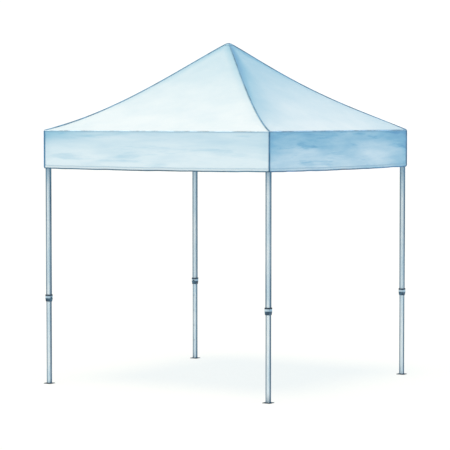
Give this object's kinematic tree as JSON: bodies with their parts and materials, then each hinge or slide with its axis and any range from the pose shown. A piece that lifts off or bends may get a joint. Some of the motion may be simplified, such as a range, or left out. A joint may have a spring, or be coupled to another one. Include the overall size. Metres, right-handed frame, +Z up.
{
  "type": "pop up canopy",
  "caption": "Square pop up canopy: sagging pyramid roof with a valance on telescoping legs, folding scissor frame with hubs and a peak pole.",
  "frame": {"origin": "on the ground, at the middle of the four legs", "axes": "+Z up, +X to the right and -Y to the front of the canopy; the four sides are alike"},
  "size_m": [2.436, 2.436, 3.094],
  "materials": {
    "canopy_fabric": "matte",
    "leg_metal": "satin",
    "bar_metal": "satin",
    "bracket_plastic": "matte",
    "collar_plastic": "matte",
    "button_plastic": "satin"
  },
  "bodies": {
    "hub": {"upper_hub": "bracket_plastic", "canopy": "canopy_fabric"},
    "lower_hub": {"lower_hub": "bracket_plastic", "peak_pole": "bar_metal"},
    "cross_down_right": {"cross_bar_down_right": "bar_metal"},
    "cross_up_right": {"cross_bar_up_right": "bar_metal"},
    "mid_upper_right": {"mid_upper_bracket_right": "bracket_plastic"},
    "mid_lower_right": {"mid_lower_bracket_right": "bracket_plastic"},
    "side_up_right_a": {"side_bar_up_right_a": "bar_metal"},
    "side_down_right_a": {"side_bar_down_right_a": "bar_metal"},
    "leg_front_right": {"corner_bracket_front_right": "bracket_plastic", "outer_leg_front_right": "leg_metal", "leg_collar_front_right": "collar_plastic"},
    "slider_front_right": {"slider_front_right": "bracket_plastic"},
    "side_up_right_b": {"side_bar_up_right_b": "bar_metal"},
    "side_down_right_b": {"side_bar_down_right_b": "bar_metal"},
    "leg_rear_right": {"corner_bracket_rear_right": "bracket_plastic", "outer_leg_rear_right": "leg_metal", "leg_collar_rear_right": "collar_plastic"},
    "slider_rear_right": {"slider_rear_right": "bracket_plastic"},
    "cross_down_rear": {"cross_bar_down_rear": "bar_metal"},
    "cross_up_rear": {"cross_bar_up_rear": "bar_metal"},
    "mid_upper_rear": {"mid_upper_bracket_rear": "bracket_plastic"},
    "mid_lower_rear": {"mid_lower_bracket_rear": "bracket_plastic"},
    "side_up_rear_a": {"side_bar_up_rear_a": "bar_metal"},
    "side_down_rear_a": {"side_bar_down_rear_a": "bar_metal"},
    "side_up_rear_b": {"side_bar_up_rear_b": "bar_metal"},
    "side_down_rear_b": {"side_bar_down_rear_b": "bar_metal"},
    "cross_down_left": {"cross_bar_down_left": "bar_metal"},
    "cross_up_left": {"cross_bar_up_left": "bar_metal"},
    "mid_upper_left": {"mid_upper_bracket_left": "bracket_plastic"},
    "mid_lower_left": {"mid_lower_bracket_left": "bracket_plastic"},
    "side_up_left_a": {"side_bar_up_left_a": "bar_metal"},
    "side_down_left_a": {"side_bar_down_left_a": "bar_metal"},
    "leg_rear_left": {"corner_bracket_rear_left": "bracket_plastic", "outer_leg_rear_left": "leg_metal", "leg_collar_rear_left": "collar_plastic"},
    "slider_rear_left": {"slider_rear_left": "bracket_plastic"},
    "side_up_left_b": {"side_bar_up_left_b": "bar_metal"},
    "side_down_left_b": {"side_bar_down_left_b": "bar_metal"},
    "leg_front_left": {"corner_bracket_front_left": "bracket_plastic", "outer_leg_front_left": "leg_metal", "leg_collar_front_left": "collar_plastic"},
    "slider_front_left": {"slider_front_left": "bracket_plastic"},
    "cross_down_front": {"cross_bar_down_front": "bar_metal"},
    "cross_up_front": {"cross_bar_up_front": "bar_metal"},
    "mid_upper_front": {"mid_upper_bracket_front": "bracket_plastic"},
    "mid_lower_front": {"mid_lower_bracket_front": "bracket_plastic"},
    "side_up_front_a": {"side_bar_up_front_a": "bar_metal"},
    "side_down_front_a": {"side_bar_down_front_a": "bar_metal"},
    "side_up_front_b": {"side_bar_up_front_b": "bar_metal"},
    "side_down_front_b": {"side_bar_down_front_b": "bar_metal"},
    "inner_leg_rear_right": {"inner_leg_rear_right": "leg_metal"},
    "button_rear_right": {"leg_button_rear_right": "button_plastic"},
    "inner_leg_rear_left": {"inner_leg_rear_left": "leg_metal"},
    "button_rear_left": {"leg_button_rear_left": "button_plastic"},
    "inner_leg_front_left": {"inner_leg_front_left": "leg_metal"},
    "button_front_left": {"leg_button_front_left": "button_plastic"},
    "inner_leg_front_right": {"inner_leg_front_right": "leg_metal"},
    "button_front_right": {"leg_button_front_right": "button_plastic"}
  },
  "joints": [
    {"name": "fold", "type": "hinge", "parent": "hub", "child": "cross_down_right", "pos_m": [0.051, 0, 2.268], "axis": [0, 1, 0], "range_deg": [0, 71], "deforming": ["canopy"]},
    {"name": "mid_lower_right", "type": "hinge", "parent": "cross_down_right", "child": "mid_lower_right", "pos_m": [1.138, 0, 1.978], "axis": [0, 1, 0], "range_deg": [-71, 0]},
    {"name": "cross_right", "type": "hinge", "parent": "cross_down_right", "child": "cross_up_right", "pos_m": [0.5945, 0, 2.123], "axis": [0, 1, 0], "range_deg": [-142, 0]},
    {"name": "mid_upper_right", "type": "hinge", "parent": "cross_up_right", "child": "mid_upper_right", "pos_m": [1.138, 0, 2.268], "axis": [0, 1, 0], "range_deg": [0, 71]},
    {"name": "lower_hub", "type": "hinge", "parent": "cross_up_right", "child": "lower_hub", "pos_m": [0.051, 0, 1.978], "axis": [0, 1, 0], "range_deg": [0, 71]},
    {"name": "side_up_right_a", "type": "hinge", "parent": "mid_lower_right", "child": "side_up_right_a", "pos_m": [1.178, -0.04, 1.978], "axis": [1, 0, 0], "range_deg": [-71, 0]},
    {"name": "side_cross_right_a", "type": "hinge", "parent": "side_up_right_a", "child": "side_down_right_a", "pos_m": [1.178, -0.5835, 2.123], "axis": [1, 0, 0], "range_deg": [0, 142]},
    {"name": "corner_front_right", "type": "hinge", "parent": "side_up_right_a", "child": "leg_front_right", "pos_m": [1.178, -1.127, 2.268], "axis": [1, 0, 0], "range_deg": [0, 71]},
    {"name": "slider_front_right", "type": "hinge", "parent": "side_down_right_a", "child": "slider_front_right", "pos_m": [1.178, -1.127, 1.978], "axis": [1, 0, 0], "range_deg": [-71, 0]},
    {"name": "side_up_right_b", "type": "hinge", "parent": "mid_lower_right", "child": "side_up_right_b", "pos_m": [1.178, 0.04, 1.978], "axis": [-1, 0, 0], "range_deg": [-71, 0]},
    {"name": "side_cross_right_b", "type": "hinge", "parent": "side_up_right_b", "child": "side_down_right_b", "pos_m": [1.178, 0.5835, 2.123], "axis": [-1, 0, 0], "range_deg": [0, 142]},
    {"name": "corner_rear_right", "type": "hinge", "parent": "side_up_right_b", "child": "leg_rear_right", "pos_m": [1.178, 1.127, 2.268], "axis": [-1, 0, 0], "range_deg": [0, 71]},
    {"name": "slider_rear_right", "type": "hinge", "parent": "side_down_right_b", "child": "slider_rear_right", "pos_m": [1.178, 1.127, 1.978], "axis": [-1, 0, 0], "range_deg": [-71, 0]},
    {"name": "hub_rear", "type": "hinge", "parent": "hub", "child": "cross_down_rear", "pos_m": [0, 0.051, 2.268], "axis": [-1, 0, 0], "range_deg": [0, 71]},
    {"name": "mid_lower_rear", "type": "hinge", "parent": "cross_down_rear", "child": "mid_lower_rear", "pos_m": [0, 1.138, 1.978], "axis": [-1, 0, 0], "range_deg": [-71, 0]},
    {"name": "cross_rear", "type": "hinge", "parent": "cross_down_rear", "child": "cross_up_rear", "pos_m": [0, 0.5945, 2.123], "axis": [-1, 0, 0], "range_deg": [-142, 0]},
    {"name": "mid_upper_rear", "type": "hinge", "parent": "cross_up_rear", "child": "mid_upper_rear", "pos_m": [0, 1.138, 2.268], "axis": [-1, 0, 0], "range_deg": [0, 71]},
    {"name": "side_up_rear_a", "type": "hinge", "parent": "mid_lower_rear", "child": "side_up_rear_a", "pos_m": [0.04, 1.178, 1.978], "axis": [0, 1, 0], "range_deg": [-71, 0]},
    {"name": "side_cross_rear_a", "type": "hinge", "parent": "side_up_rear_a", "child": "side_down_rear_a", "pos_m": [0.5835, 1.178, 2.123], "axis": [0, 1, 0], "range_deg": [0, 142]},
    {"name": "side_up_rear_b", "type": "hinge", "parent": "mid_lower_rear", "child": "side_up_rear_b", "pos_m": [-0.04, 1.178, 1.978], "axis": [0, -1, 0], "range_deg": [-71, 0]},
    {"name": "side_cross_rear_b", "type": "hinge", "parent": "side_up_rear_b", "child": "side_down_rear_b", "pos_m": [-0.5835, 1.178, 2.123], "axis": [0, -1, 0], "range_deg": [0, 142]},
    {"name": "hub_left", "type": "hinge", "parent": "hub", "child": "cross_down_left", "pos_m": [-0.051, 0, 2.268], "axis": [0, -1, 0], "range_deg": [0, 71]},
    {"name": "mid_lower_left", "type": "hinge", "parent": "cross_down_left", "child": "mid_lower_left", "pos_m": [-1.138, 0, 1.978], "axis": [0, -1, 0], "range_deg": [-71, 0]},
    {"name": "cross_left", "type": "hinge", "parent": "cross_down_left", "child": "cross_up_left", "pos_m": [-0.5945, 0, 2.123], "axis": [0, -1, 0], "range_deg": [-142, 0]},
    {"name": "mid_upper_left", "type": "hinge", "parent": "cross_up_left", "child": "mid_upper_left", "pos_m": [-1.138, 0, 2.268], "axis": [0, -1, 0], "range_deg": [0, 71]},
    {"name": "side_up_left_a", "type": "hinge", "parent": "mid_lower_left", "child": "side_up_left_a", "pos_m": [-1.178, 0.04, 1.978], "axis": [-1, 0, 0], "range_deg": [-71, 0]},
    {"name": "side_cross_left_a", "type": "hinge", "parent": "side_up_left_a", "child": "side_down_left_a", "pos_m": [-1.178, 0.5835, 2.123], "axis": [-1, 0, 0], "range_deg": [0, 142]},
    {"name": "corner_rear_left", "type": "hinge", "parent": "side_up_left_a", "child": "leg_rear_left", "pos_m": [-1.178, 1.127, 2.268], "axis": [-1, 0, 0], "range_deg": [0, 71]},
    {"name": "slider_rear_left", "type": "hinge", "parent": "side_down_left_a", "child": "slider_rear_left", "pos_m": [-1.178, 1.127, 1.978], "axis": [-1, 0, 0], "range_deg": [-71, 0]},
    {"name": "side_up_left_b", "type": "hinge", "parent": "mid_lower_left", "child": "side_up_left_b", "pos_m": [-1.178, -0.04, 1.978], "axis": [1, 0, 0], "range_deg": [-71, 0]},
    {"name": "side_cross_left_b", "type": "hinge", "parent": "side_up_left_b", "child": "side_down_left_b", "pos_m": [-1.178, -0.5835, 2.123], "axis": [1, 0, 0], "range_deg": [0, 142]},
    {"name": "corner_front_left", "type": "hinge", "parent": "side_up_left_b", "child": "leg_front_left", "pos_m": [-1.178, -1.127, 2.268], "axis": [1, 0, 0], "range_deg": [0, 71]},
    {"name": "slider_front_left", "type": "hinge", "parent": "side_down_left_b", "child": "slider_front_left", "pos_m": [-1.178, -1.127, 1.978], "axis": [1, 0, 0], "range_deg": [-71, 0]},
    {"name": "hub_front", "type": "hinge", "parent": "hub", "child": "cross_down_front", "pos_m": [0, -0.051, 2.268], "axis": [1, 0, 0], "range_deg": [0, 71]},
    {"name": "mid_lower_front", "type": "hinge", "parent": "cross_down_front", "child": "mid_lower_front", "pos_m": [0, -1.138, 1.978], "axis": [1, 0, 0], "range_deg": [-71, 0]},
    {"name": "cross_front", "type": "hinge", "parent": "cross_down_front", "child": "cross_up_front", "pos_m": [0, -0.5945, 2.123], "axis": [1, 0, 0], "range_deg": [-142, 0]},
    {"name": "mid_upper_front", "type": "hinge", "parent": "cross_up_front", "child": "mid_upper_front", "pos_m": [0, -1.138, 2.268], "axis": [1, 0, 0], "range_deg": [0, 71]},
    {"name": "side_up_front_a", "type": "hinge", "parent": "mid_lower_front", "child": "side_up_front_a", "pos_m": [-0.04, -1.178, 1.978], "axis": [0, -1, 0], "range_deg": [-71, 0]},
    {"name": "side_cross_front_a", "type": "hinge", "parent": "side_up_front_a", "child": "side_down_front_a", "pos_m": [-0.5835, -1.178, 2.123], "axis": [0, -1, 0], "range_deg": [0, 142]},
    {"name": "side_up_front_b", "type": "hinge", "parent": "mid_lower_front", "child": "side_up_front_b", "pos_m": [0.04, -1.178, 1.978], "axis": [0, 1, 0], "range_deg": [-71, 0]},
    {"name": "side_cross_front_b", "type": "hinge", "parent": "side_up_front_b", "child": "side_down_front_b", "pos_m": [0.5835, -1.178, 2.123], "axis": [0, 1, 0], "range_deg": [0, 142]},
    {"name": "leg_height_rear_right", "type": "slide", "parent": "leg_rear_right", "child": "inner_leg_rear_right", "axis": [0, 0, 1], "range_m": [0, 0.6]},
    {"name": "button_rear_right", "type": "slide", "parent": "leg_rear_right", "child": "button_rear_right", "axis": [-1, 0, 0], "range_m": [0, 0.005], "stiffness_N_per_m": 600, "springref_m": -0.003},
    {"name": "leg_height_rear_left", "type": "slide", "parent": "leg_rear_left", "child": "inner_leg_rear_left", "axis": [0, 0, 1], "range_m": [0, 0.6]},
    {"name": "button_rear_left", "type": "slide", "parent": "leg_rear_left", "child": "button_rear_left", "axis": [0, -1, 0], "range_m": [0, 0.005], "stiffness_N_per_m": 600, "springref_m": -0.003},
    {"name": "leg_height_front_left", "type": "slide", "parent": "leg_front_left", "child": "inner_leg_front_left", "axis": [0, 0, 1], "range_m": [0, 0.6]},
    {"name": "button_front_left", "type": "slide", "parent": "leg_front_left", "child": "button_front_left", "axis": [1, 0, 0], "range_m": [0, 0.005], "stiffness_N_per_m": 600, "springref_m": -0.003},
    {"name": "leg_height_front_right", "type": "slide", "parent": "leg_front_right", "child": "inner_leg_front_right", "axis": [0, 0, 1], "range_m": [0, 0.6]},
    {"name": "button_front_right", "type": "slide", "parent": "leg_front_right", "child": "button_front_right", "axis": [0, 1, 0], "range_m": [0, 0.005], "stiffness_N_per_m": 600, "springref_m": -0.003}
  ],
  "couplings": [
    {"joint": "mid_lower_right", "follows": "fold", "ratio": -1},
    {"joint": "cross_right", "follows": "fold", "ratio": -2},
    {"joint": "mid_upper_right", "follows": "fold", "ratio": 1},
    {"joint": "lower_hub", "follows": "fold", "ratio": 1},
    {"joint": "side_up_right_a", "follows": "fold", "ratio": -1},
    {"joint": "side_cross_right_a", "follows": "fold", "ratio": 2},
    {"joint": "corner_front_right", "follows": "fold", "ratio": 1},
    {"joint": "slider_front_right", "follows": "fold", "ratio": -1},
    {"joint": "side_up_right_b", "follows": "fold", "ratio": -1},
    {"joint": "side_cross_right_b", "follows": "fold", "ratio": 2},
    {"joint": "corner_rear_right", "follows": "fold", "ratio": 1},
    {"joint": "slider_rear_right", "follows": "fold", "ratio": -1},
    {"joint": "hub_rear", "follows": "fold", "ratio": 1},
    {"joint": "mid_lower_rear", "follows": "fold", "ratio": -1},
    {"joint": "cross_rear", "follows": "fold", "ratio": -2},
    {"joint": "mid_upper_rear", "follows": "fold", "ratio": 1},
    {"joint": "side_up_rear_a", "follows": "fold", "ratio": -1},
    {"joint": "side_cross_rear_a", "follows": "fold", "ratio": 2},
    {"joint": "side_up_rear_b", "follows": "fold", "ratio": -1},
    {"joint": "side_cross_rear_b", "follows": "fold", "ratio": 2},
    {"joint": "hub_left", "follows": "fold", "ratio": 1},
    {"joint": "mid_lower_left", "follows": "fold", "ratio": -1},
    {"joint": "cross_left", "follows": "fold", "ratio": -2},
    {"joint": "mid_upper_left", "follows": "fold", "ratio": 1},
    {"joint": "side_up_left_a", "follows": "fold", "ratio": -1},
    {"joint": "side_cross_left_a", "follows": "fold", "ratio": 2},
    {"joint": "corner_rear_left", "follows": "fold", "ratio": 1},
    {"joint": "slider_rear_left", "follows": "fold", "ratio": -1},
    {"joint": "side_up_left_b", "follows": "fold", "ratio": -1},
    {"joint": "side_cross_left_b", "follows": "fold", "ratio": 2},
    {"joint": "corner_front_left", "follows": "fold", "ratio": 1},
    {"joint": "slider_front_left", "follows": "fold", "ratio": -1},
    {"joint": "hub_front", "follows": "fold", "ratio": 1},
    {"joint": "mid_lower_front", "follows": "fold", "ratio": -1},
    {"joint": "cross_front", "follows": "fold", "ratio": -2},
    {"joint": "mid_upper_front", "follows": "fold", "ratio": 1},
    {"joint": "side_up_front_a", "follows": "fold", "ratio": -1},
    {"joint": "side_cross_front_a", "follows": "fold", "ratio": 2},
    {"joint": "side_up_front_b", "follows": "fold", "ratio": -1},
    {"joint": "side_cross_front_b", "follows": "fold", "ratio": 2}
  ]
}
